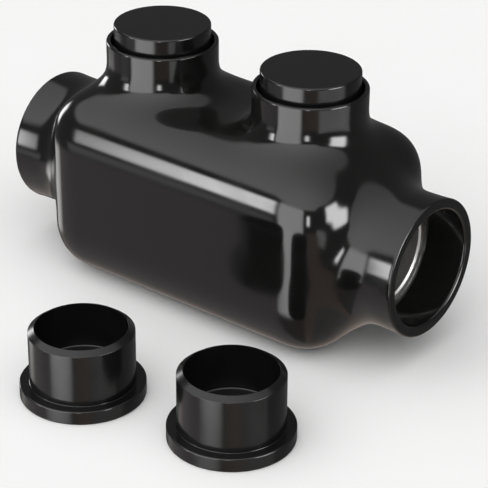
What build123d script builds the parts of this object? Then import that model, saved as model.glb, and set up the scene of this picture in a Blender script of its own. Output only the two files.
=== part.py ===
from build123d import *
import os

# Insulated inline splice connector, in millimetres.
# +X runs along the cable, -Y is the side where the loose plugs stand, +Z is up the screw towers.
# The origin is the middle of the flat underside.

# Body of the insulating boot
body_length = 87.6
body_width = 48.0
body_height = 47.4
body_round = 12.0
coat = 2.7

# Cable necks, standing out of each end of the boot's body
neck_reach = 14.3
neck_outer_radius = 16.7
neck_bore_radius = 14.0
neck_blend = 4.2
neck_lip_round = 0.3

# Screw towers on top of the boot, set in from the ends of its body
tower_inset = 21.3
tower_height = 12.0
tower_outer_radius = 13.65
tower_wall = 1.15
tower_blend = 3.0
tower_lip_round = 0.45
cap_seat_depth = 8.0
cap_seat_width = 0.9

# Connector block, with a conductor bore from each end and a stop wall between them
conductor_bore_radius = 12.2
bore_mouth_chamfer = 0.8
spigot_wall = 3.0
spigot_length = 5.5
stop_wall = 6.0

# Set screws, backed out clear of the conductor bores until they lie just under the caps
screw_throat_gap = 0.45
screw_clearance = 0.05
screw_rest_gap = 0.3
screw_cap_gap = 1.2
screw_point_chamfer = 1.2
screw_top_chamfer = 0.6
hex_across_flats = 9.525
hex_depth = 8.0

# Screw-port caps, pushed into the towers down to a step
cap_skirt_gap = 0.7
cap_stand_out = 4.1
cap_top = 2.0
cap_wall = 1.6
cap_edge_round = 0.45
cap_seat_gap = 0.05
bead_clearance = 0.06
bead_half_height = 0.7
bead_depths = (2.6, 5.6)

# Loose cable-entry plugs, standing on their flanges in front of the boot
plug_places = ((6.3, -61.8), (44.0, -54.9))
plug_clearance = 0.12
plug_entry = 2.1
plug_wall = 1.57
plug_rim_flat = 0.15
plug_rim_slope = 1.02
plug_flange_overlap = 0.38
plug_flange_thickness = 3.35
plug_base = 5.75
plug_floor_round = 0.5
plug_flange_round = 0.3

# Places that follow from the sizes above
axis_height = body_height / 2
body_end = body_length / 2
neck_end = body_end + neck_reach
tower_x = body_end - tower_inset
tower_rim = body_height + tower_height
tower_bore_radius = tower_outer_radius - tower_wall
tower_throat_radius = tower_bore_radius - cap_seat_width
screw_hole_radius = tower_throat_radius - screw_throat_gap
cap_radius = tower_bore_radius - cap_skirt_gap
cap_seat = tower_rim - cap_seat_depth
block_end = body_end - coat
block_top = body_height - coat
spigot_end = block_end + spigot_length
neck_depth = neck_end - spigot_end
sides = {"left": -1, "right": 1}


def rod_along_x(radius, x_low, x_high):
    """Solid rod on the cable's axis."""
    base = Plane(origin=(x_low, 0, axis_height), x_dir=(0, 1, 0), z_dir=(1, 0, 0))
    return extrude(base * Circle(radius), amount=x_high - x_low)


def rod_up(radius, x, z_low, z_high):
    """Solid upright rod that stands over the cable's axis at x."""
    return extrude(Pos(x, 0, z_low) * Circle(radius), amount=z_high - z_low)


def soft_block(length, width, height, edge_round):
    """Block round the cable's axis with every edge and corner rounded."""
    block = Pos(0, 0, axis_height) * Box(length, width, height)
    return fillet(block.edges(), edge_round)


def junction_edges(solid, distance, radius, within):
    """Curved edges that lie on a tube's outer wall, where the tube leaves the body."""
    found = []
    for edge in solid.edges():
        points = [edge.position_at(share) for share in (0.1, 0.4, 0.7, 0.95)]
        on_wall = all(abs(distance(point) - radius) < 0.01 for point in points)
        if on_wall and all(within(point) for point in points) and edge.geom_type != GeomType.LINE:
            found.append(edge)
    return found


def from_cable_axis(point):
    return (point.Y ** 2 + (point.Z - axis_height) ** 2) ** 0.5


def from_tower_axis(point):
    return ((abs(point.X) - tower_x) ** 2 + point.Y ** 2) ** 0.5


def boot_outside():
    """Body, necks and towers as one skin, with the soft blends of a dipped coat."""
    skin = soft_block(body_length, body_width, body_height, body_round)
    skin += rod_along_x(neck_outer_radius, -neck_end, neck_end)
    for side in sides.values():
        skin += rod_up(tower_outer_radius, side * tower_x, axis_height, tower_rim)
    neck_feet = junction_edges(skin, from_cable_axis, neck_outer_radius,
                               lambda point: abs(point.X) < neck_end - 1)
    skin = fillet(neck_feet, neck_blend)
    tower_feet = junction_edges(skin, from_tower_axis, tower_outer_radius,
                                lambda point: point.Z < tower_rim - 1)
    return fillet(tower_feet, tower_blend)


def block_outside():
    """Outside of the metal block: the body's shape less the coat, and a spigot on each end."""
    block = soft_block(body_length - 2 * coat, body_width - 2 * coat,
                       body_height - 2 * coat, body_round - coat)
    return block + rod_along_x(conductor_bore_radius + spigot_wall, -spigot_end, spigot_end)


def make_boot():
    """Insulating boot, moulded in one piece over the metal block."""
    boot = boot_outside() - block_outside()
    boot -= rod_along_x(neck_bore_radius, -neck_end, neck_end)
    for side in sides.values():
        x = side * tower_x
        boot -= rod_up(tower_throat_radius, x, axis_height, tower_rim)
        boot -= rod_up(tower_bore_radius, x, cap_seat, tower_rim)
    neck_lips = (boot.edges().filter_by(GeomType.CIRCLE)
                 .filter_by(lambda edge: abs(abs(edge.center().X) - neck_end) < 0.01))
    boot = fillet(neck_lips, neck_lip_round)
    tower_lips = (boot.edges().filter_by(GeomType.CIRCLE)
                  .filter_by(lambda edge: abs(edge.center().Z - tower_rim) < 0.01))
    return fillet(tower_lips, tower_lip_round)


def make_connector_block():
    """Metal block with its conductor bores, stop wall and screw holes."""
    block = block_outside()
    for side in sides.values():
        near, far = sorted((side * stop_wall / 2, side * spigot_end))
        block -= rod_along_x(conductor_bore_radius, near, far)
        block -= rod_up(screw_hole_radius, side * tower_x, axis_height, block_top)
    mouths = (block.edges().filter_by(GeomType.CIRCLE)
              .filter_by(lambda edge: abs(abs(edge.center().X) - spigot_end) < 0.01)
              .filter_by(lambda edge: abs(edge.radius - conductor_bore_radius) < 0.01))
    return chamfer(mouths, bore_mouth_chamfer)


def make_set_screw(x):
    """Socket set screw, turned with a bevelled point."""
    foot = axis_height + conductor_bore_radius + screw_rest_gap
    top = cap_seat - screw_cap_gap
    screw = rod_up(screw_hole_radius - screw_clearance, x, foot, top)
    rims = screw.edges().filter_by(GeomType.CIRCLE).sort_by(Axis.Z)
    screw = chamfer(rims[0], screw_point_chamfer)
    rims = screw.edges().filter_by(GeomType.CIRCLE).sort_by(Axis.Z)
    screw = chamfer(rims[-1], screw_top_chamfer)
    socket = RegularPolygon(hex_across_flats / 2, 6, major_radius=False)
    return screw - extrude(Pos(x, 0, top - hex_depth) * socket, amount=hex_depth)


def make_screw_cap(x):
    """Hollow cap turned about the tower's axis, with two sealing beads on its skirt."""
    foot = cap_seat + cap_seat_gap
    crown = tower_rim + cap_stand_out
    bead_reach = tower_bore_radius - bead_clearance
    hollow = cap_radius - cap_wall
    with BuildPart() as cap:
        with BuildSketch(Plane.XZ):
            with BuildLine():
                Polyline((hollow, foot), (cap_radius, foot), (cap_radius, crown), (0, crown),
                         (0, crown - cap_top), (hollow, crown - cap_top), (hollow, foot))
            make_face()
            for depth in bead_depths:
                with BuildLine():
                    middle = tower_rim - depth
                    low = (cap_radius, middle - bead_half_height)
                    high = (cap_radius, middle + bead_half_height)
                    ThreePointArc(low, (bead_reach, middle), high)
                    Line(high, low)
                make_face()
        revolve(axis=Axis.Z)
        crown_edge = cap.edges().filter_by(GeomType.CIRCLE).group_by(Axis.Z)[-1]
        fillet(crown_edge, cap_edge_round)
    return Pos(x, 0, 0) * cap.part


def make_plug(x, y):
    """Cup-shaped plug, turned about its own axis, standing open side up on its flange."""
    nose = conductor_bore_radius - plug_clearance
    flange = neck_bore_radius + plug_flange_overlap
    height = plug_flange_thickness + neck_depth + plug_entry
    hollow = nose - plug_wall
    outline = Polyline((0, 0), (flange, 0), (flange, plug_flange_thickness),
                       (nose, plug_flange_thickness), (nose, height - plug_rim_slope),
                       (hollow + plug_rim_flat, height), (hollow, height),
                       (hollow, plug_base), (0, plug_base), (0, 0))
    plug = revolve(Plane.XZ * make_face(outline), axis=Axis.Z)
    floor_edge = plug.edges().filter_by(lambda edge: abs(edge.center().Z - plug_base) < 0.01
                                        and edge.length > 1)
    plug = fillet(floor_edge.filter_by(GeomType.CIRCLE), plug_floor_round)
    flange_edges = (plug.edges().filter_by(GeomType.CIRCLE)
                    .filter_by(lambda edge: abs(edge.radius - flange) < 0.01))
    plug = fillet(flange_edges, plug_flange_round)
    return Pos(x, y, 0) * plug


def build_all():
    nodes = {"boot": make_boot(), "connector_block": make_connector_block()}
    for name, side in sides.items():
        nodes["set_screw_" + name] = make_set_screw(side * tower_x)
        nodes["screw_cap_" + name] = make_screw_cap(side * tower_x)
    for name, place in zip(sides, plug_places):
        nodes["entry_plug_" + name] = make_plug(*place)
    return nodes


os.makedirs("parts", exist_ok=True)
for node, solid in build_all().items():
    export_step(solid, f"parts/{node}.step")
    print(node, round(solid.volume, 1), "mm3")
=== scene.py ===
import math

import bmesh
import bpy
import numpy as np
from mathutils import Matrix, Vector


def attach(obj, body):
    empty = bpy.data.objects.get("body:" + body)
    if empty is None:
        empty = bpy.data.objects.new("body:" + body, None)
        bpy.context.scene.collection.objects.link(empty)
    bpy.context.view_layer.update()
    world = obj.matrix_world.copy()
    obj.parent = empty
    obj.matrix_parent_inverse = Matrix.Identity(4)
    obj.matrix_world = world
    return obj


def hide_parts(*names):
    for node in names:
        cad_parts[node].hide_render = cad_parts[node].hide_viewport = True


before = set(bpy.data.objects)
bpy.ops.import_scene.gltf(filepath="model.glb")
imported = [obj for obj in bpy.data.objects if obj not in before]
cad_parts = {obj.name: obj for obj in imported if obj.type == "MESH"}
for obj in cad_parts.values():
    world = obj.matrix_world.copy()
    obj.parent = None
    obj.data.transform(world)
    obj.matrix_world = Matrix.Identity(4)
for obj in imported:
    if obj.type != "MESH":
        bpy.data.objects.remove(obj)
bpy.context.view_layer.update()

mm = 0.001
towerX, cableAxis = 22.5, 23.7     # mm: the towers from the middle, the cable over the floor
cadWeld, latheWeld = 2e-6, 1e-6    # m: points nearer than this are made one
roundSegments = 96


def linear(hexColour):
    # an sRGB hex colour as linear RGBA
    channels = [int(hexColour[i:i + 2], 16) / 255 for i in (1, 3, 5)]
    return [c / 12.92 if c <= 0.04045 else ((c + 0.055) / 1.055) ** 2.4 for c in channels] + [1.0]


def addNode(tree, kind, links=None, **settings):
    # links: input name or number -> a value or another node's output
    node = tree.nodes.new(kind)
    for name, value in settings.items():
        setattr(node, name, value)
    for key, value in (links or {}).items():
        if isinstance(value, bpy.types.NodeSocket):
            tree.links.new(value, node.inputs[key])
        else:
            node.inputs[key].default_value = value
    return node


def newMaterial(name):
    material = bpy.data.materials.new(name)
    material.use_nodes = True
    material.node_tree.nodes.clear()
    return material, material.node_tree


def newObject(name, data):
    thing = bpy.data.objects.new(name, data)
    bpy.context.scene.collection.objects.link(thing)
    return thing


def objectFrom(bm, name, material=None):
    mesh = bpy.data.meshes.new(name)
    bm.to_mesh(mesh)
    bm.free()
    if material:
        mesh.materials.append(material)
    return newObject(name, mesh)


def bakeOut(holder, name):
    # what the holder's modifier makes, as a plain mesh object of its own; the holder goes
    bpy.context.view_layer.update()
    graph = bpy.context.evaluated_depsgraph_get()
    mesh = bpy.data.meshes.new_from_object(holder.evaluated_get(graph))
    mesh.name = name
    holder.modifiers.clear()
    bpy.data.objects.remove(holder)
    return newObject(name, mesh)


# Dipped PVC plastisol, cured on the hot metal: it flows to a wet gloss, with a slight sag
# and faint clouds
dippedPlastisol = {
    "colour": "#111111",
    "cloudColour": "#161514",
    "ior": 1.5,
    "roughness": (0.10, 0.15),
    "cloudSize": 9.0,      # mm, slow clouds in the cured coat
    "sagSize": 14.0,       # mm, waviness of the dip
    "sagHeight": 0.010,
    "grainSize": 0.5,      # mm; the real pores are finer, and this is the finest that shows
    "grainHeight": 0.0010,
}

# Injection-moulded flexible PVC: an even satin gloss from a polished mould, drier than
# the dipped coat
mouldedVinyl = {
    "colour": "#101010",
    "cloudColour": "#141414",
    "ior": 1.5,
    "roughness": (0.15, 0.21),
    "cloudSize": 6.0,
    "sagSize": 10.0,
    "sagHeight": 0.003,
    "grainSize": 0.4,
    "grainHeight": 0.0012,
}

noiseSpan = (0.3, 0.7)     # the values that a noise texture mostly gives


def blackPlastic(name, look):
    material, tree = newMaterial(name)
    place = addNode(tree, "ShaderNodeTexCoord").outputs["Object"]
    clouds = addNode(tree, "ShaderNodeTexNoise", {
        "Vector": place, "Scale": 1 / (look["cloudSize"] * mm), "Detail": 3.0, "Roughness": 0.55})
    shade = addNode(tree, "ShaderNodeMix", {
        "Factor": clouds.outputs["Fac"], 6: linear(look["colour"]),
        7: linear(look["cloudColour"])}, data_type="RGBA")
    gloss = addNode(tree, "ShaderNodeMapRange", {
        "Value": clouds.outputs["Fac"], "From Min": noiseSpan[0], "From Max": noiseSpan[1],
        "To Min": look["roughness"][0], "To Max": look["roughness"][1]})
    sag = addNode(tree, "ShaderNodeTexNoise", {
        "Vector": place, "Scale": 1 / (look["sagSize"] * mm), "Detail": 1.0})
    sagBump = addNode(tree, "ShaderNodeBump", {
        "Height": sag.outputs["Fac"], "Strength": 1.0, "Distance": look["sagHeight"] * mm})
    grain = addNode(tree, "ShaderNodeTexNoise", {
        "Vector": place, "Scale": 1 / (look["grainSize"] * mm), "Detail": 2.0})
    grainBump = addNode(tree, "ShaderNodeBump", {
        "Height": grain.outputs["Fac"], "Strength": 1.0, "Distance": look["grainHeight"] * mm,
        "Normal": sagBump.outputs["Normal"]})
    shader = addNode(tree, "ShaderNodeBsdfPrincipled", {
        "Base Color": shade.outputs[2], "IOR": look["ior"], "Roughness": gloss.outputs["Result"],
        "Normal": grainBump.outputs["Normal"]})
    addNode(tree, "ShaderNodeOutputMaterial", {"Surface": shader.outputs["BSDF"]})
    return material


# Aluminium bar, faced and bored on a lathe: bright, with fine rings that the tool leaves
# round the cable's axis
facedAluminium = {
    "colour": "#dcdbd9",
    "dullColour": "#c4c3c1",
    "roughness": (0.30, 0.42),
    "feed": 0.4,           # mm between tool marks; the real 0.15 is too fine to show
    "markHeight": 0.0018,
    "smearSize": 2.5,      # mm, patches where the metal is duller
    "direction": "X",
    "centre": (0, 0, cableAxis),
}

# Aluminium rod, threaded and turned: duller than the block, with rings round the screw's own axis
threadedAluminium = {
    "colour": "#c4c3c2",
    "dullColour": "#8f8e8d",
    "roughness": (0.26, 0.42),
    "feed": 0.4,
    "markHeight": 0.0025,
    "smearSize": 2.0,
    "direction": "Z",
    "centre": (towerX, 0, 0),
}

dullSpan = (0.35, 0.7)     # the noise values between the bright colour and the dull one
waveLength = math.pi / 10  # m between the rings of a wave texture of scale 1


def turnedMetal(name, look):
    # both halves of the splice are alike, so the rings are drawn on x without its sign
    material, tree = newMaterial(name)
    place = addNode(tree, "ShaderNodeTexCoord").outputs["Object"]
    folded = addNode(tree, "ShaderNodeVectorMath", {0: place}, operation="ABSOLUTE").outputs[0]
    fromAxis = addNode(tree, "ShaderNodeMapping", {
        "Vector": folded, "Location": [-c * mm for c in look["centre"]]})
    rings = addNode(tree, "ShaderNodeTexWave", {
        "Vector": fromAxis.outputs["Vector"], "Scale": waveLength / (look["feed"] * mm),
        "Distortion": 0.6, "Detail": 1.0, "Detail Scale": 0.3},
        wave_type="RINGS", rings_direction=look["direction"])
    smear = addNode(tree, "ShaderNodeTexNoise", {
        "Vector": place, "Scale": 1 / (look["smearSize"] * mm), "Detail": 4.0}).outputs["Fac"]
    shade = addNode(tree, "ShaderNodeMapRange", {
        "Value": smear, "From Min": dullSpan[0], "From Max": dullSpan[1]})
    colour = addNode(tree, "ShaderNodeMix", {
        "Factor": shade.outputs["Result"], 6: linear(look["colour"]),
        7: linear(look["dullColour"])}, data_type="RGBA")
    gloss = addNode(tree, "ShaderNodeMapRange", {
        "Value": smear, "From Min": noiseSpan[0], "From Max": noiseSpan[1],
        "To Min": look["roughness"][0], "To Max": look["roughness"][1]})
    bump = addNode(tree, "ShaderNodeBump", {
        "Height": rings.outputs["Fac"], "Strength": 1.0, "Distance": look["markHeight"] * mm})
    shader = addNode(tree, "ShaderNodeBsdfPrincipled", {
        "Base Color": colour.outputs[2], "Metallic": 1.0, "Roughness": gloss.outputs["Result"],
        "Normal": bump.outputs["Normal"]})
    addNode(tree, "ShaderNodeOutputMaterial", {"Surface": shader.outputs["BSDF"]})
    return material


bootCoat = blackPlastic("dippedPlastisol", dippedPlastisol)
plugVinyl = blackPlastic("mouldedVinyl", mouldedVinyl)
blockMetal = turnedMetal("facedAluminium", facedAluminium)
screwMetal = turnedMetal("threadedAluminium", threadedAluminium)
print("materials made")


def unit(v):
    return v / np.linalg.norm(v)


def softProfile(corners, steps=6):
    # corners: (radius, height, round), with the open side on the left of the travel;
    # gives the outline's points and true normals with its corners rounded
    points, normals = [], []
    places = [np.array(corner[:2], float) for corner in corners]
    for i, (here, (_, _, rounding)) in enumerate(zip(places, corners)):
        if i in (0, len(corners) - 1) or rounding == 0:
            along = unit(places[1] - here if i == 0 else here - places[i - 1])
            points.append(here)
            normals.append(np.array((-along[1], along[0])))
            continue
        before, after = unit(here - places[i - 1]), unit(places[i + 1] - here)
        turn = math.atan2(before[0] * after[1] - before[1] * after[0], before @ after)
        start = here - before * rounding * math.tan(abs(turn) / 2)
        normal = np.array((-before[1], before[0]))
        side = -1 if turn < 0 else 1
        centre = start + side * normal * rounding
        for step in range(steps + 1):
            a = turn * step / steps
            n = np.array((normal[0] * math.cos(a) - normal[1] * math.sin(a),
                          normal[0] * math.sin(a) + normal[1] * math.cos(a)))
            points.append(centre - side * n * rounding)
            normals.append(n)
    return np.array(points), np.array(normals)


# How the thread's flank runs, from the middle of its crest (0) to the middle of its root (1)
threadFlank = (0.12, 0.88)


def turningTree():
    # a lathe: each point of the outline is carried round the upright axis; where the outline's
    # own numbers say so, the round takes a thread or becomes six-sided
    tree = bpy.data.node_groups.new("turnedOutline", "GeometryNodeTree")
    for name, kind, direction in (("Outline", "NodeSocketGeometry", "INPUT"),
                                  ("Segments", "NodeSocketInt", "INPUT"),
                                  ("Centre", "NodeSocketVector", "INPUT"),
                                  ("Pitch", "NodeSocketFloat", "INPUT"),
                                  ("Thread Depth", "NodeSocketFloat", "INPUT"),
                                  ("Material", "NodeSocketMaterial", "INPUT"),
                                  ("Turned", "NodeSocketGeometry", "OUTPUT")):
        tree.interface.new_socket(name, in_out=direction, socket_type=kind)
    given = addNode(tree, "NodeGroupInput").outputs
    outline = given["Outline"]

    # a grid with a column for each step round the axis and a row for each point of the outline
    count = addNode(tree, "GeometryNodeAttributeDomainSize",
                    {"Geometry": outline}).outputs["Point Count"]
    columns = addNode(tree, "ShaderNodeMath", {0: given["Segments"], 1: 1.0},
                      operation="ADD").outputs[0]
    grid = addNode(tree, "GeometryNodeMeshGrid", {"Vertices X": columns, "Vertices Y": count})
    index = addNode(tree, "GeometryNodeInputIndex").outputs[0]
    row = addNode(tree, "ShaderNodeMath", {0: index, 1: count}, operation="MODULO").outputs[0]
    ratio = addNode(tree, "ShaderNodeMath", {0: index, 1: count}, operation="DIVIDE").outputs[0]
    column = addNode(tree, "ShaderNodeMath", {0: ratio}, operation="FLOOR").outputs[0]
    turn = addNode(tree, "ShaderNodeMath", {0: column, 1: given["Segments"]},
                   operation="DIVIDE").outputs[0]
    angle = addNode(tree, "ShaderNodeMath", {0: turn, 1: 2 * math.pi},
                    operation="MULTIPLY").outputs[0]
    sampled = {}
    for name, kind in (("place", "FLOAT_VECTOR"), ("way", "FLOAT_VECTOR"), ("thread", "FLOAT"),
                       ("six", "FLOAT")):
        if name == "place":
            source = addNode(tree, "GeometryNodeInputPosition").outputs[0]
        else:
            source = addNode(tree, "GeometryNodeInputNamedAttribute", {"Name": name},
                             data_type=kind).outputs[0]
        sampled[name] = addNode(tree, "GeometryNodeSampleIndex", {
            "Geometry": outline, "Value": source, "Index": row},
            data_type=kind, domain="POINT").outputs[0]
    parts = addNode(tree, "ShaderNodeSeparateXYZ", {0: sampled["place"]}).outputs

    # the thread: a groove whose place along the pitch moves on with the turn
    climb = addNode(tree, "ShaderNodeMath", {0: parts["Z"], 1: given["Pitch"]},
                    operation="DIVIDE").outputs[0]
    wound = addNode(tree, "ShaderNodeMath", {0: climb, 1: turn}, operation="SUBTRACT").outputs[0]
    phase = addNode(tree, "ShaderNodeMath", {0: wound}, operation="FRACT").outputs[0]
    swing = addNode(tree, "ShaderNodeMath", {0: phase, 1: 2.0, 2: -1.0},
                    operation="MULTIPLY_ADD").outputs[0]
    flank = addNode(tree, "ShaderNodeMath", {0: swing}, operation="ABSOLUTE").outputs[0]
    groove = addNode(tree, "ShaderNodeMapRange", {
        "Value": flank, "From Min": threadFlank[0], "From Max": threadFlank[1]}).outputs["Result"]
    deep = addNode(tree, "ShaderNodeMath", {0: groove, 1: given["Thread Depth"]},
                   operation="MULTIPLY").outputs[0]
    cut = addNode(tree, "ShaderNodeMath", {0: deep, 1: sampled["thread"]},
                  operation="MULTIPLY").outputs[0]

    # the hexagon: the radius grows towards its corners
    sixth = addNode(tree, "ShaderNodeMath", {0: turn, 1: 6.0}, operation="MULTIPLY").outputs[0]
    within = addNode(tree, "ShaderNodeMath", {0: sixth}, operation="FRACT").outputs[0]
    centred = addNode(tree, "ShaderNodeMath", {0: within, 1: 0.5}, operation="SUBTRACT").outputs[0]
    fromFlat = addNode(tree, "ShaderNodeMath", {0: centred, 1: math.pi / 3},
                       operation="MULTIPLY").outputs[0]
    nearness = addNode(tree, "ShaderNodeMath", {0: fromFlat}, operation="COSINE").outputs[0]
    reach = addNode(tree, "ShaderNodeMath", {0: 1.0, 1: nearness}, operation="DIVIDE").outputs[0]
    gain = addNode(tree, "ShaderNodeMath", {0: reach, 1: 1.0}, operation="SUBTRACT").outputs[0]
    widened = addNode(tree, "ShaderNodeMath", {0: sampled["six"], 1: gain, 2: 1.0},
                      operation="MULTIPLY_ADD").outputs[0]

    threaded = addNode(tree, "ShaderNodeMath", {0: parts["X"], 1: cut},
                       operation="SUBTRACT").outputs[0]
    radius = addNode(tree, "ShaderNodeMath", {0: threaded, 1: widened},
                     operation="MULTIPLY").outputs[0]
    flatPoint = addNode(tree, "ShaderNodeCombineXYZ", {"X": radius, "Z": parts["Z"]}).outputs[0]
    turnedPoint = addNode(tree, "ShaderNodeVectorRotate", {"Vector": flatPoint, "Angle": angle},
                          rotation_type="Z_AXIS").outputs[0]
    turnedWay = addNode(tree, "ShaderNodeVectorRotate", {"Vector": sampled["way"], "Angle": angle},
                        rotation_type="Z_AXIS").outputs[0]
    moved = addNode(tree, "ShaderNodeVectorMath", {0: turnedPoint, 1: given["Centre"]},
                    operation="ADD").outputs[0]
    stored = addNode(tree, "GeometryNodeStoreNamedAttribute", {
        "Geometry": grid.outputs["Mesh"], "Name": "way", "Value": turnedWay},
        data_type="FLOAT_VECTOR", domain="POINT").outputs["Geometry"]
    shaped = addNode(tree, "GeometryNodeSetPosition", {
        "Geometry": stored, "Position": moved}).outputs["Geometry"]
    closed = addNode(tree, "GeometryNodeMergeByDistance", {
        "Geometry": shaped, "Distance": latheWeld}).outputs["Geometry"]
    outward = addNode(tree, "GeometryNodeFlipFaces", {"Mesh": closed}).outputs["Mesh"]
    smooth = addNode(tree, "GeometryNodeSetShadeSmooth", {"Geometry": outward}).outputs["Geometry"]
    whole = addNode(tree, "GeometryNodeRealizeInstances",
                    {"Geometry": smooth}).outputs["Geometry"]
    dressed = addNode(tree, "GeometryNodeSetMaterial", {
        "Geometry": whole, "Material": given["Material"]}).outputs["Geometry"]
    addNode(tree, "NodeGroupOutput", {"Turned": dressed})
    return tree


lathe = turningTree()


def turned(name, points, centre, material, segments, ways=None, thread=None, six=None, pitch=1.0,
           threadDepth=0.0):
    # an outline of (radius, height) turned into a closed piece; ways are the outline's normals
    outline = bpy.data.meshes.new(name + "Outline")
    outline.from_pydata([(r * mm, 0, z * mm) for r, z in points],
                        [(i, i + 1) for i in range(len(points) - 1)], [])
    if ways is not None:
        attribute = outline.attributes.new("way", "FLOAT_VECTOR", "POINT")
        upright = np.array([(r, 0, z) for r, z in ways], float)
        attribute.data.foreach_set("vector", upright.ravel())
    for key, values in (("thread", thread), ("six", six)):
        if values is not None:
            attribute = outline.attributes.new(key, "FLOAT", "POINT")
            attribute.data.foreach_set("value", np.array(values, float))
    holder = newObject(name + "Outline", outline)
    modifier = holder.modifiers.new("turned", "NODES")
    modifier.node_group = lathe
    sockets = {item.name: item.identifier for item in lathe.interface.items_tree
               if item.in_out == "INPUT"}
    modifier[sockets["Segments"]] = segments
    modifier[sockets["Centre"]] = [c * mm for c in centre]
    modifier[sockets["Pitch"]] = pitch * mm
    modifier[sockets["Thread Depth"]] = threadDepth * mm
    modifier[sockets["Material"]] = material
    return bakeOut(holder, name)


def shadeByWays(piece):
    # the ways stored on the points become the shading normals
    mesh = piece.data
    ways = np.zeros(len(mesh.vertices) * 3)
    mesh.attributes["way"].data.foreach_get("vector", ways)
    mesh.attributes.remove(mesh.attributes["way"])
    mesh.normals_split_custom_set_from_vertices([tuple(w) for w in ways.reshape(-1, 3)])


def shadeByAngle(piece, degrees):
    # smooth faces that meet in a crisp edge wherever they turn by more than this
    bm = bmesh.new()
    bm.from_mesh(piece.data)
    for face in bm.faces:
        face.smooth = True
    for edge in bm.edges:
        edge.smooth = (len(edge.link_faces) == 2
                       and edge.calc_face_angle(0) < math.radians(degrees))
    bm.to_mesh(piece.data)
    bm.free()


# Lengths in mm here and below. Both mouldings are turned, so each has one outline
capSizes = {
    "radius": 11.8, "top": 63.5, "foot": 51.45, "crownRound": 0.45, "footRound": 0.15,
    "wall": 1.6, "crown": 2.0, "ceilingRound": 0.3,
    "beadHeights": (56.8, 53.8), "beadReach": 12.44, "beadHalf": 0.7,
    "beadRound": 0.3, "beadRootRound": 0.12, "segments": 160,
}


def screwCap(name, x):
    s = capSizes
    inner, ceiling = s["radius"] - s["wall"], s["top"] - s["crown"]
    corners = [(0, s["top"], 0), (s["radius"], s["top"], s["crownRound"])]
    for height in s["beadHeights"]:
        corners += [(s["radius"], height + s["beadHalf"], s["beadRootRound"]),
                    (s["beadReach"], height, s["beadRound"]),
                    (s["radius"], height - s["beadHalf"], s["beadRootRound"])]
    corners += [(s["radius"], s["foot"], s["footRound"]), (inner, s["foot"], s["footRound"]),
                (inner, ceiling, s["ceilingRound"]), (0, ceiling, 0)]
    points, ways = softProfile(corners)
    return turned(name, points, (x, 0, 0), plugVinyl, s["segments"], ways)


plugPlaces = {"left": (6.3, -61.8), "right": (44.0, -54.9)}
plugSizes = {
    "nose": 12.08, "flange": 14.38, "height": 16.95, "flangeThickness": 3.35,
    "hollow": 10.51, "rim": 10.66, "slope": 1.02, "floor": 5.75,
    "floorRound": 0.5, "rimRound": 0.05, "slopeRound": 0.12, "rootRound": 0.15,
    "flangeRound": 0.3, "segments": 160,
}


def entryPlug(name, x, y):
    s = plugSizes
    corners = [(0, s["floor"], 0), (s["hollow"], s["floor"], s["floorRound"]),
               (s["hollow"], s["height"], s["rimRound"]), (s["rim"], s["height"], s["rimRound"]),
               (s["nose"], s["height"] - s["slope"], s["slopeRound"]),
               (s["nose"], s["flangeThickness"], s["rootRound"]),
               (s["flange"], s["flangeThickness"], s["flangeRound"]),
               (s["flange"], 0, s["flangeRound"]), (0, 0, 0)]
    points, ways = softProfile(corners)
    return turned(name, points, (x, y, 0), plugVinyl, s["segments"], ways)


screwSizes = {
    "radius": 11.1, "foot": 36.2, "top": 50.2, "topChamfer": 0.6, "pointChamfer": 1.2,
    "pitch": 2.0, "threadDepth": 1.1, "rowsPerPitch": 10,
    "runOut": 4,                        # rows over which the thread fades at each end
    "flats": 9.525, "socketDepth": 8.0, "socketLead": 0.35,
    "drillPoint": 0.6,                  # depth of the drill's cone under the socket's floor
    "drillShoulder": (0.6, 0.25, 0.3),  # share of the half width, depth, how six-sided it is there
    "cupRadius": 7.0, "cupFloor": 3.5, "cupDepth": 0.8,
    "crease": 35,                       # degrees
}


def setScrew(name, x):
    # rows of (radius, height, thread, six), from the socket's floor out and down to the cup point
    s = screwSizes
    half, floor = s["flats"] / 2, s["top"] - s["socketDepth"]
    share, depth, six = s["drillShoulder"]
    rows = [(0, floor - s["drillPoint"], 0, 0), (half * share, floor - depth, 0, six),
            (half, floor, 0, 1), (half, s["top"] - s["socketLead"], 0, 1),
            (half + s["socketLead"], s["top"], 0, 1),
            (s["radius"] - s["topChamfer"], s["top"], 0, 0)]
    high, low = s["top"] - s["topChamfer"], s["foot"] + s["pointChamfer"]
    steps = round((high - low) / s["pitch"] * s["rowsPerPitch"])
    for i in range(steps + 1):
        fade = min(1, i / s["runOut"], (steps - i) / s["runOut"])
        rows.append((s["radius"], high - (high - low) * i / steps, fade, 0))
    rows += [(s["radius"] - s["pointChamfer"], s["foot"], 0, 0), (s["cupRadius"], s["foot"], 0, 0),
             (s["cupFloor"], s["foot"] + s["cupDepth"], 0, 0), (0, s["foot"] + s["cupDepth"], 0, 0)]
    piece = turned(name, [row[:2] for row in rows], (x, 0, 0), screwMetal, roundSegments,
                   thread=[row[2] for row in rows], six=[row[3] for row in rows],
                   pitch=s["pitch"], threadDepth=s["threadDepth"])
    shadeByAngle(piece, s["crease"])
    return piece


for side, x in (("left", -towerX), ("right", towerX)):
    cap = screwCap("cap_" + side, x)
    shadeByWays(cap)
    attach(cap, side + "_cap")
    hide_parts("screw_cap_" + side)
    screw = setScrew("screw_" + side, x)
    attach(screw, side + "_screw")
    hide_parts("set_screw_" + side)
for side, (x, y) in plugPlaces.items():
    plug = entryPlug("plug_" + side, x, y)
    shadeByWays(plug)
    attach(plug, "root")
    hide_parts("entry_plug_" + side)
print("caps, screws and plugs turned")


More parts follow.
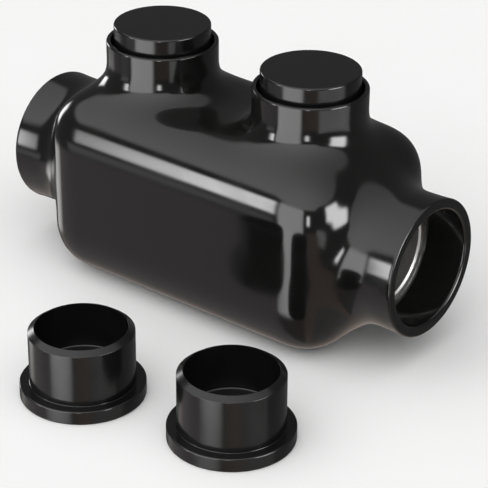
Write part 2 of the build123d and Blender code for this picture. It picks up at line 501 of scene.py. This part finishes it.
bootShape = {
    "half": (43.8, 24.0, cableAxis),                 # of the body's length, width and height
    "cornerReach": 14.0, "cornerPower": 2.5,         # how far the rounding goes, how full it is
    "neckRadius": 16.7, "neckBore": 14.0, "neckEnd": 58.1, "neckFloor": 46.6,
    "neckLip": (0.42, 0.7),                          # the mouth's rounding, outside and inside
    "neckLipCut": 0.7,                               # how far back the skin is cut for the lip
    "neckFlare": 0.22, "flareStart": 49.5,           # the neck opens a little towards its mouth
    "neckBlend": (8.0, 6.4), "neckBlendPower": 2.5,  # along the neck, out from it
    "towerRadius": 13.65, "towerBore": 12.5, "towerTop": 59.4,
    "towerLip": 0.45, "towerLipCut": 0.9,
    "towerBlend": (6.0, 9.5), "towerBlendPower": 3.0,
    "seat": 51.4, "seatRound": 0.15, "throat": 11.6, "throatFloor": 44.7,
    "hollowHalf": (41.1, 21.3, 21.0), "hollowRound": 9.3, "spigot": 15.2,   # round the metal
    "seam": 0.5,                                     # how far from the hollow a mouth's wall stops
}

# How the skin is made: a rough closed grid is moved onto the true surface and evened out there
skinGrid = {
    "spacing": 0.9,
    "overhang": 4.0,                # how far the rough rods pass the ends, where they are cut off
    "held": 2.0,                    # past the ends by more than this, points stay where they are
    "bevel": 12.0, "bevelSteps": 6,
    "settleRounds": 8, "evenRounds": 8, "evenSettle": 2, "lastRounds": 6,
    "farthest": 1.5,                # the most that a point moves in one round
    "probe": 0.001,                 # the step over which a slope is measured
}

# How near a point has to be, in mm, to count as lying on something
slack = {"cut": 0.01, "ring": 0.05, "hollow": 0.03}
noTower = 50.0     # a distance too far to have an effect
lipSteps = 5


def softUnion(a, b, reaches, power):
    # two distances joined by a blend that reaches so far along each surface
    u = np.maximum(1 - a / reaches[0], 0)
    v = np.maximum(1 - b / reaches[1], 0)
    beyond = np.maximum(1, np.minimum(a / reaches[0], b / reaches[1]))
    return min(reaches) * (beyond - (u ** power + v ** power) ** (1 / power))


def bootSkin(p):
    # about how far each point lies outside the boot's skin; negative inside it
    s = bootShape
    x, y, z = p[:, 0], p[:, 1], p[:, 2] - cableAxis
    reach, power = s["cornerReach"], s["cornerPower"]
    q = np.abs(np.stack((x, y, z), 1)) - (np.array(s["half"]) - reach)
    rounding = ((np.maximum(q, 0) / reach) ** power).sum(1) ** (1 / power) - 1
    body = reach * rounding + np.minimum(q.max(1), 0)
    along = np.clip((np.abs(x) - s["flareStart"]) / (s["neckEnd"] - s["flareStart"]), 0, 1)
    neck = np.hypot(y, z) - s["neckRadius"] + s["neckFlare"] * (1 - along ** 2)
    tower = np.where(z > 0, np.hypot(np.abs(x) - towerX, y) - s["towerRadius"], noTower)
    withNecks = softUnion(body, neck, s["neckBlend"], s["neckBlendPower"])
    return softUnion(withNecks, tower, s["towerBlend"], s["towerBlendPower"])


def slopeOf(field, p):
    slope = np.zeros_like(p)
    for k in range(3):
        offset = np.zeros(3)
        offset[k] = skinGrid["probe"]
        slope[:, k] = (field(p + offset) - field(p - offset)) / (2 * skinGrid["probe"])
    return slope


def settle(field, p, rounds):
    # moves points along the slope onto the surface where the field is zero
    for _ in range(rounds):
        slope = slopeOf(field, p)
        steepness = np.maximum((slope ** 2).sum(1), 1e-9)     # never quite flat
        away = np.clip(field(p), -skinGrid["farthest"], skinGrid["farthest"])
        p = p - slope * (away / steepness)[:, None]
    return p


def roughBoot():
    # overlapping plain solids near the skin, made one closed grid by a voxel remesh
    s, g = bootShape, skinGrid
    bm = bmesh.new()
    lifted = Matrix.Translation((0, 0, cableAxis))
    bmesh.ops.create_cube(bm, size=1,
                          matrix=lifted @ Matrix.Diagonal([2 * h for h in s["half"]] + [1]))
    bmesh.ops.bevel(bm, geom=list(bm.edges), offset=g["bevel"], segments=g["bevelSteps"],
                    profile=0.5, affect="EDGES")
    lying = lifted @ Matrix.Rotation(math.pi / 2, 4, "Y")
    tall = s["towerTop"] + g["overhang"] - cableAxis
    rods = [(s["neckRadius"], 2 * (s["neckEnd"] + g["overhang"]), lying)]
    rods += [(s["towerRadius"], tall, Matrix.Translation((x, 0, cableAxis + tall / 2)))
             for x in (-towerX, towerX)]
    for radius, length, place in rods:
        bmesh.ops.create_cone(bm, cap_ends=True, segments=roundSegments, radius1=radius,
                              radius2=radius, depth=length, matrix=place)
    holder = objectFrom(bm, "bootRough")
    remesh = holder.modifiers.new("grid", "REMESH")
    remesh.mode = "VOXEL"
    remesh.voxel_size = g["spacing"]
    return bakeOut(holder, "bootGrid")


def evenOut(p, edges, keep, rounds):
    # slides points along the skin towards the middle of their neighbours
    count = np.bincount(edges.ravel(), minlength=len(p))[:, None]
    for _ in range(rounds):
        total = np.zeros_like(p)
        for k in range(3):
            total[:, k] = (np.bincount(edges[:, 0], p[edges[:, 1], k], len(p)) +
                           np.bincount(edges[:, 1], p[edges[:, 0], k], len(p)))
        p = np.where(keep, p, (p + total / count) / 2)
        p = np.where(keep, p, settle(bootSkin, p, skinGrid["evenSettle"]))
    return p


def makeSkin():
    s, g = bootShape, skinGrid
    grid = roughBoot()
    mesh = grid.data
    p = np.zeros(len(mesh.vertices) * 3)
    mesh.vertices.foreach_get("co", p)
    p = p.reshape(-1, 3)
    edges = np.zeros(len(mesh.edges) * 2, int)
    mesh.edges.foreach_get("vertices", edges)
    edges = edges.reshape(-1, 2)
    pastEnd = (np.abs(p[:, 0]) > s["neckEnd"] + g["held"]) | (p[:, 2] > s["towerTop"] + g["held"])
    keep = pastEnd[:, None]
    p = np.where(keep, p, settle(bootSkin, p, g["settleRounds"]))
    p = evenOut(p, edges, keep, g["evenRounds"])
    p = np.where(keep, p, settle(bootSkin, p, g["lastRounds"]))
    mesh.vertices.foreach_set("co", p.ravel())
    mesh.update()
    bm = bmesh.new()
    bm.from_mesh(mesh)
    bpy.data.objects.remove(grid)
    return bm


def cutAway(bm, at, facing):
    # takes off what lies beyond a plane
    parts = list(bm.verts) + list(bm.edges) + list(bm.faces)
    bmesh.ops.bisect_plane(bm, geom=parts, dist=1e-5, plane_co=at, plane_no=facing,
                           clear_outer=True)


def rimEdges(ring):
    # the open edges between the points of a ring
    points = set(ring)
    return {e for v in ring for e in v.link_edges if e.is_boundary and points.issuperset(e.verts)}


def layStrip(bm, way, ring, outline, place):
    # new rows of faces from a cut edge, at the angles of its own points, along an outline
    # whose open side is on the right; gives the last row
    points, normals = softProfile(outline, lipSteps)
    rows = []
    for j, (point, normal) in enumerate(zip(points, -normals)):
        row = {}
        for v in ring:
            co, out = place(v.co, point, normal)
            row[v] = v if j == 0 else bm.verts.new(co)
            row[v][way] = out
        rows.append(row)
    for v in ring:
        v.co = place(v.co, points[0], normals[0])[0]
    for e in rimEdges(ring):
        loop = e.link_loops[0]
        a, b = loop.vert, loop.link_loop_next.vert
        for lower, upper in zip(rows, rows[1:]):
            bm.faces.new((lower[b], lower[a], upper[a], upper[b]))
    return list(rows[-1].values())


def aroundCable(sign):
    # sets an outline's (radius, height) round the cable's axis, its height towards that end
    def place(co, point, normal):
        out = Vector((0, co[1], co[2] - cableAxis)).normalized()
        return (Vector((sign * point[1], out[1] * point[0], cableAxis + out[2] * point[0])),
                Vector((sign * normal[1], out[1] * normal[0], out[2] * normal[0])))
    return place


def aroundTower(x):
    # the same round a tower's axis
    def place(co, point, normal):
        out = Vector((co[0] - x, co[1], 0)).normalized()
        return (Vector((x + out[0] * point[0], out[1] * point[0], point[1])),
                Vector((out[0] * normal[0], out[1] * normal[0], normal[1])))
    return place


def joinRings(bm, ringA, ringB):
    bmesh.ops.bridge_loops(bm, edges=list(rimEdges(ringA)) + list(rimEdges(ringB)))


def packedCopy(node):
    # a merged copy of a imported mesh, still in metres
    bm = bmesh.new()
    bm.from_mesh(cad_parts[node].data)
    bmesh.ops.remove_doubles(bm, verts=list(bm.verts), dist=cadWeld)
    return bm


def finishPiece(bm, name, material):
    # a closed mesh in millimetres becomes an object in metres
    openEdges = sum(len(e.link_faces) != 2 for e in bm.edges)
    triangles = sum(len(f.verts) - 2 for f in bm.faces)
    print(name + ":", triangles, "triangles,", openEdges, "open edges")
    for v in bm.verts:
        v.co *= mm
    for f in bm.faces:
        f.smooth = True
    return objectFrom(bm, name, material)


def hollowFaces(bm):
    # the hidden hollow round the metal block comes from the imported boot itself
    s = bootShape
    copy = packedCopy("boot")
    p = np.array([v.co for v in copy.verts]) / mm
    q = np.abs(p - (0, 0, cableAxis)) - (np.array(s["hollowHalf"]) - s["hollowRound"])
    box = (np.linalg.norm(np.maximum(q, 0), axis=1) + np.minimum(q.max(1), 0)
           - s["hollowRound"])
    spigot = np.maximum(np.hypot(p[:, 1], p[:, 2] - cableAxis) - s["spigot"],
                        np.abs(p[:, 0]) - s["neckFloor"])
    onHollow = np.abs(np.minimum(box, spigot)) < slack["hollow"]
    made = {}
    for f in copy.faces:
        if all(onHollow[v.index] for v in f.verts):
            for v in f.verts:
                if v.index not in made:
                    made[v.index] = bm.verts.new(v.co / mm)
            bm.faces.new([made[v.index] for v in f.verts])
    copy.free()
    return list(made.values())


def makeBoot():
    s = bootShape
    bm = makeSkin()
    neckCut, towerCut = s["neckEnd"] - s["neckLipCut"], s["towerTop"] - s["towerLipCut"]
    cutAway(bm, (neckCut, 0, 0), (1, 0, 0))
    cutAway(bm, (-neckCut, 0, 0), (-1, 0, 0))
    cutAway(bm, (0, 0, towerCut), (0, 0, 1))
    ways = slopeOf(bootSkin, np.array([v.co for v in bm.verts]))
    way = bm.verts.layers.float_vector.new("way")
    for v, w in zip(bm.verts, ways / np.linalg.norm(ways, axis=1, keepdims=True)):
        v[way] = w
    ends = []     # each mouth's last row, and a test for the ring of the hollow that it meets
    for sign in (1, -1):
        x, onCut = sign * towerX, slack["cut"]
        ring = [v for v in bm.verts if v.is_boundary and sign * v.co.x > neckCut - onCut]
        lip = [(s["neckRadius"], neckCut, 0), (s["neckRadius"], s["neckEnd"], s["neckLip"][0]),
               (s["neckBore"], s["neckEnd"], s["neckLip"][1]),
               (s["neckBore"], s["neckFloor"] + s["seam"], 0)]
        last = layStrip(bm, way, ring, lip, aroundCable(sign))
        ends.append((last, lambda co, at=sign * s["neckFloor"]: abs(co.x - at)))
        ring = [v for v in bm.verts
                if v.is_boundary and v.co.z > towerCut - onCut and v.co.x * sign > 0]
        lip = [(s["towerRadius"], towerCut, 0), (s["towerRadius"], s["towerTop"], s["towerLip"]),
               (s["towerBore"], s["towerTop"], s["towerLip"]),
               (s["towerBore"], s["seat"], s["seatRound"]),
               (s["throat"], s["seat"], s["seatRound"]),
               (s["throat"], s["throatFloor"] + s["seam"], 0)]
        last = layStrip(bm, way, ring, lip, aroundTower(x))
        ends.append((last, lambda co, at=x: abs(math.hypot(co.x - at, co.y) - s["throat"])))
    hollow = hollowFaces(bm)
    for last, farFrom in ends:
        joinRings(bm, last, [v for v in hollow
                             if v.is_boundary and farFrom(v.co) < slack["ring"]])
    return finishPiece(bm, "boot_coat", bootCoat)


boot = makeBoot()
shadeByWays(boot)
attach(boot, "root")
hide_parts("boot")

blockSizes = {
    "cut": 44.0, "end": 46.6, "bore": 12.2, "spigot": 15.2,
    "mouthChamfer": 0.42, "outerChamfer": 0.25, "seam": 0.4,
    "crease": 30,     # degrees
}


def makeBlock():
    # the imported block, with its ends turned again so that their edges are as fine as they look
    s = blockSizes
    bm = packedCopy("connector_block")
    for v in bm.verts:
        v.co /= mm
    way = bm.verts.layers.float_vector.new("way")
    middle = (s["bore"] + s["spigot"]) / 2
    for sign in (1, -1):
        cutAway(bm, (sign * s["cut"], 0, 0), (sign, 0, 0))
        rim = [v for v in bm.verts
               if v.is_boundary and abs(v.co.x - sign * s["cut"]) < slack["cut"]]
        inner = [v for v in rim if math.hypot(v.co.y, v.co.z - cableAxis) < middle]
        outer = [v for v in rim if math.hypot(v.co.y, v.co.z - cableAxis) > middle]
        outline = [(s["spigot"], s["cut"], 0), (s["spigot"], s["end"] - s["outerChamfer"], 0),
                   (s["spigot"] - s["outerChamfer"], s["end"], 0),
                   (s["bore"] + s["mouthChamfer"], s["end"], 0),
                   (s["bore"], s["end"] - s["mouthChamfer"], 0),
                   (s["bore"], s["cut"] + s["seam"], 0)]
        last = layStrip(bm, way, outer, outline, aroundCable(sign))
        joinRings(bm, last, inner)
    bm.verts.layers.float_vector.remove(way)
    block = finishPiece(bm, "block", blockMetal)
    shadeByAngle(block, s["crease"])
    return block


block = makeBlock()
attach(block, "root")
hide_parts("connector_block")
print("boot and block made")

# Solved from the photo's outlines: degrees, mm, and the focus in pixels of the square frame
photoView = {
    "azimuth": 38.574, "elevation": 27.605, "roll": 0.482, "distance": 503.468,
    "target": (3.258, 0.0, 11.767), "focus": 2045.858, "frame": 488, "sensor": 36,
    "nearest": 10,
}


def placeCamera():
    view = photoView
    a, e, r = (math.radians(view[k]) for k in ("azimuth", "elevation", "roll"))
    back = Vector((math.sin(a) * math.cos(e), -math.cos(a) * math.cos(e), math.sin(e)))
    right = Vector((math.cos(a), math.sin(a), 0))
    up = back.cross(right)
    right, up = (math.cos(r) * right + math.sin(r) * up, -math.sin(r) * right + math.cos(r) * up)
    data = bpy.data.cameras.new("photoView")
    data.sensor_width = view["sensor"]
    data.lens = view["focus"] / view["frame"] * view["sensor"]
    data.clip_start = view["nearest"] * mm
    camera = newObject("photoView", data)
    spot = (Vector(view["target"]) + back * view["distance"]) * mm
    turn = Matrix((right, up, back)).transposed().to_4x4()
    camera.matrix_world = Matrix.Translation(spot) @ turn
    bpy.context.scene.camera = camera


placeCamera()

# Matt white card: near white, with a faint tooth and hardly a tint
mattCard = {
    "colour": "#f9f9f9",
    "tintColour": "#f5f5f4",
    "tintSize": 60.0,      # mm, slow drift of the white
    "toothSize": 0.8,
    "toothHeight": 0.02,
}


def cardMaterial():
    material, tree = newMaterial("mattCard")
    place = addNode(tree, "ShaderNodeTexCoord").outputs["Object"]
    drift = addNode(tree, "ShaderNodeTexNoise", {
        "Vector": place, "Scale": 1 / (mattCard["tintSize"] * mm)})
    shade = addNode(tree, "ShaderNodeMix", {
        "Factor": drift.outputs["Fac"], 6: linear(mattCard["colour"]),
        7: linear(mattCard["tintColour"])}, data_type="RGBA")
    tooth = addNode(tree, "ShaderNodeTexNoise", {
        "Vector": place, "Scale": 1 / (mattCard["toothSize"] * mm), "Detail": 2.0})
    bump = addNode(tree, "ShaderNodeBump", {
        "Height": tooth.outputs["Fac"], "Distance": mattCard["toothHeight"] * mm})
    shader = addNode(tree, "ShaderNodeBsdfDiffuse", {
        "Color": shade.outputs[2], "Normal": bump.outputs["Normal"]})
    addNode(tree, "ShaderNodeOutputMaterial", {"Surface": shader.outputs["BSDF"]})
    return material


# A round floor with an upright round wall at its edge, in metres
stageSizes = {"radius": 4.0, "height": 5.0}


def makeStage():
    s = stageSizes
    card = cardMaterial()
    bm = bmesh.new()
    bmesh.ops.create_circle(bm, cap_ends=True, segments=roundSegments, radius=s["radius"])
    floor = objectFrom(bm, "floor", card)
    floor.visible_glossy = False
    bm = bmesh.new()
    bmesh.ops.create_cone(bm, segments=roundSegments, radius1=s["radius"], radius2=s["radius"],
                          depth=s["height"], matrix=Matrix.Translation((0, 0, s["height"] / 2)))
    bmesh.ops.reverse_faces(bm, faces=list(bm.faces))
    backdrop = objectFrom(bm, "backdrop", card)
    backdrop.visible_glossy = backdrop.visible_diffuse = backdrop.visible_shadow = False


makeStage()

# An area lamp's watts for each square metre that make it look as bright as a surface glowing at 1
wattsForOne = 4

# Soft panels round the table, each with its azimuths from the front towards the right end, its
# elevations, its brightness, and the degrees over which its left, right, foot and head fade
panels = {
    "front": ((-29, 24), (-34.5, 22), 3.2, (5, 8, 7, 8)),
    "right": ((74, 112), (-12, 24), 10.5, (9, 9, 7, 9)),
    "rightLow": ((51, 122), (-31, -18), 1.0, (8, 8, 6, 4)),
    "leftStrip": ((-108, -74), (-33, -19), 1.3, (8, 11, 6, 6)),
    "leftRear": ((-109, -88), (-11, 19), 5.6, (7, 7, 7, 8)),
    "small": ((27, 38), (-14, 8), 10.0, (5, 4, 5, 5)),
    "stripe": ((-43.5, -29.1), (-10.2, 15.3), 12.8, (13, 4, 5, 5)),
    "underStripe": ((-56, -31), (-23, -9.5), 0.6, (10, 4, 6, 6)),
}
panelRing = {"distance": 2.0, "middle": 0.024}   # m: how far away, the splice's middle height


def softPanel(name, azimuths, elevations, brightness, fades):
    distance = panelRing["distance"]
    a = math.radians(sum(azimuths) / 2)
    out = Vector((math.sin(a), -math.cos(a), 0))
    across = Vector((math.cos(a), math.sin(a), 0))
    wide, tall = azimuths[1] - azimuths[0], elevations[1] - elevations[0]
    width = 2 * distance * math.tan(math.radians(wide) / 2)
    low, high = (distance * math.tan(math.radians(e)) for e in elevations)
    data = bpy.data.lights.new(name, "AREA")
    data.shape = "RECTANGLE"
    data.size = width
    data.size_y = high - low
    data.energy = brightness * wattsForOne * width * (high - low)
    data.use_nodes = True
    tree = data.node_tree
    tree.nodes.clear()
    onFace = addNode(tree, "ShaderNodeNewGeometry").outputs["Parametric"]
    spot = addNode(tree, "ShaderNodeSeparateXYZ", {0: onFace}).outputs
    left, right, foot, head = fades
    level = 1.0
    for axis, edge, inner in (("X", 0, left / wide), ("X", 1, 1 - right / wide),
                              ("Y", 0, foot / tall), ("Y", 1, 1 - head / tall)):
        fade = addNode(tree, "ShaderNodeMapRange", {
            "Value": spot[axis], "From Min": edge, "From Max": inner},
            interpolation_type="SMOOTHSTEP").outputs["Result"]
        level = addNode(tree, "ShaderNodeMath", {0: fade, 1: level},
                        operation="MULTIPLY").outputs[0]
    glow = addNode(tree, "ShaderNodeEmission", {"Strength": level})
    addNode(tree, "ShaderNodeOutputLight", {"Surface": glow.outputs[0]})
    lamp = newObject("panel_" + name, data)
    middle = out * distance + Vector((0, 0, (low + high) / 2 + panelRing["middle"]))
    facing = Matrix((across, Vector((0, 0, 1)), out)).transposed().to_4x4()
    lamp.matrix_world = Matrix.Translation(middle) @ facing
    lamp.visible_camera = False
    lamp.visible_diffuse = False


for name, values in panels.items():
    softPanel(name, *values)

# The room round the table: a broad soft ceiling, brighter towards the front, a dark horizon
# and a dim floor
dome = {
    "ceiling": 1.2, "ceilingTilt": 0.93,   # brightness straight up, what it gains to the front
    "horizon": 0.12, "soft": 3.5,          # the dark band, degrees over which the ceiling starts
    "softLow": 4.5,                        # degrees over which the floor's glow starts
    "rampTop": 60.0,                       # the degrees that a ramp's white stands for
    # elevation at which the ceiling starts, by azimuth
    "edge": ((-180, 51), (-150, 49), (-112, 41), (-92, 36), (-70, 33), (-55, 29), (-45, 26),
             (-33, 21.8), (-24, 19), (22, 18), (50, 18), (60, 25), (84, 26), (108, 31),
             (126, 39), (144, 45), (162, 50), (180, 51)),
    # how far below the horizon the floor's glow starts, by azimuth
    "lowEdge": ((-180, 36), (-112, 36), (-90, 20), (108, 20), (124, 36), (180, 36)),
    # the floor's glow, by azimuth
    "low": ((-180, (0.48, 0.40, 0.35)), (-94, (0.42, 0.38, 0.36)), (-80, (0.40, 0.38, 0.37)),
            (-66, (0.46, 0.43, 0.43)), (-34, (0.46, 0.42, 0.43)), (-24, (0.20, 0.19, 0.19)),
            (22, (0.20, 0.19, 0.18)), (32, (0.48, 0.36, 0.30)), (50, (0.52, 0.42, 0.36)),
            (62, (0.36, 0.34, 0.34)), (112, (0.36, 0.35, 0.34)), (180, (0.48, 0.40, 0.35))),
}


def makeWorld():
    world = bpy.data.worlds.new("studioDome")
    world.use_nodes = True
    tree = world.node_tree
    tree.nodes.clear()
    way = addNode(tree, "ShaderNodeTexCoord").outputs["Generated"]
    parts = addNode(tree, "ShaderNodeSeparateXYZ", {0: way}).outputs
    ahead = addNode(tree, "ShaderNodeMath", {0: parts["Y"], 1: -1.0},
                    operation="MULTIPLY").outputs[0]
    azimuth = addNode(tree, "ShaderNodeMath", {0: parts["X"], 1: ahead},
                      operation="ARCTAN2").outputs[0]
    share = addNode(tree, "ShaderNodeMath", {0: azimuth, 1: 1 / (2 * math.pi), 2: 0.5},
                    operation="MULTIPLY_ADD").outputs[0]
    height = addNode(tree, "ShaderNodeMath", {0: parts["Z"]}, operation="ARCSINE").outputs[0]
    degrees = addNode(tree, "ShaderNodeMath", {0: height, 1: 180 / math.pi},
                      operation="MULTIPLY").outputs[0]
    around = {}
    for name in ("edge", "lowEdge", "low"):
        ramp = addNode(tree, "ShaderNodeValToRGB", {"Fac": share})
        stops = ramp.color_ramp.elements
        for i, (place, value) in enumerate(dome[name]):
            stop = stops[i] if i < 2 else stops.new(place / 360 + 0.5)
            stop.position = place / 360 + 0.5
            colour = value if name == "low" else [value / dome["rampTop"]] * 3
            stop.color = list(colour) + [1]
        around[name] = ramp.outputs["Color"]
    edge = addNode(tree, "ShaderNodeMath", {0: around["edge"], 1: dome["rampTop"]},
                   operation="MULTIPLY").outputs[0]
    above = addNode(tree, "ShaderNodeMath", {0: degrees, 1: edge}, operation="SUBTRACT").outputs[0]
    clear = addNode(tree, "ShaderNodeMapRange", {
        "Value": above, "From Min": -dome["soft"], "From Max": dome["soft"]},
        interpolation_type="SMOOTHSTEP").outputs["Result"]
    level = addNode(tree, "ShaderNodeMath", {
        0: ahead, 1: dome["ceilingTilt"], 2: dome["ceiling"]}, operation="MULTIPLY_ADD").outputs[0]
    below = addNode(tree, "ShaderNodeMath", {
        0: around["lowEdge"], 1: dome["rampTop"], 2: degrees}, operation="MULTIPLY_ADD").outputs[0]
    under = addNode(tree, "ShaderNodeMapRange", {
        "Value": below, "From Min": 0.0, "From Max": -dome["softLow"]},
        interpolation_type="SMOOTHSTEP").outputs["Result"]
    sky = addNode(tree, "ShaderNodeMix", {"Factor": clear, 2: dome["horizon"], 3: level}).outputs[0]
    glowLow = addNode(tree, "ShaderNodeMix", {
        "Factor": under, 6: (dome["horizon"],) * 3 + (1,), 7: around["low"]},
        data_type="RGBA").outputs[2]
    isUp = addNode(tree, "ShaderNodeMath", {0: degrees, 1: 0.0},
                   operation="GREATER_THAN").outputs[0]
    total = addNode(tree, "ShaderNodeMix", {"Factor": isUp, 6: glowLow, 7: sky},
                    data_type="RGBA").outputs[2]
    glow = addNode(tree, "ShaderNodeBackground", {"Color": total, "Strength": 1.0})
    addNode(tree, "ShaderNodeOutputWorld", {"Surface": glow.outputs[0]})
    bpy.context.scene.world = world


makeWorld()

# A broad lamp overhead, in metres, that brings the pale floor up to its own colour
ceilingFill = {"size": 3.0, "height": 3.0, "level": 0.14}


def makeFill():
    data = bpy.data.lights.new("ceilingFill", "AREA")
    data.shape = "SQUARE"
    data.size = ceilingFill["size"]
    area = ceilingFill["size"] ** 2
    data.energy = ceilingFill["level"] * wattsForOne * area
    lamp = newObject("ceilingFill", data)
    lamp.matrix_world = Matrix.Translation((0, 0, ceilingFill["height"]))
    lamp.visible_camera = lamp.visible_glossy = False


makeFill()
bpy.context.scene.view_settings.view_transform = "Standard"
print("stage, light and camera set")
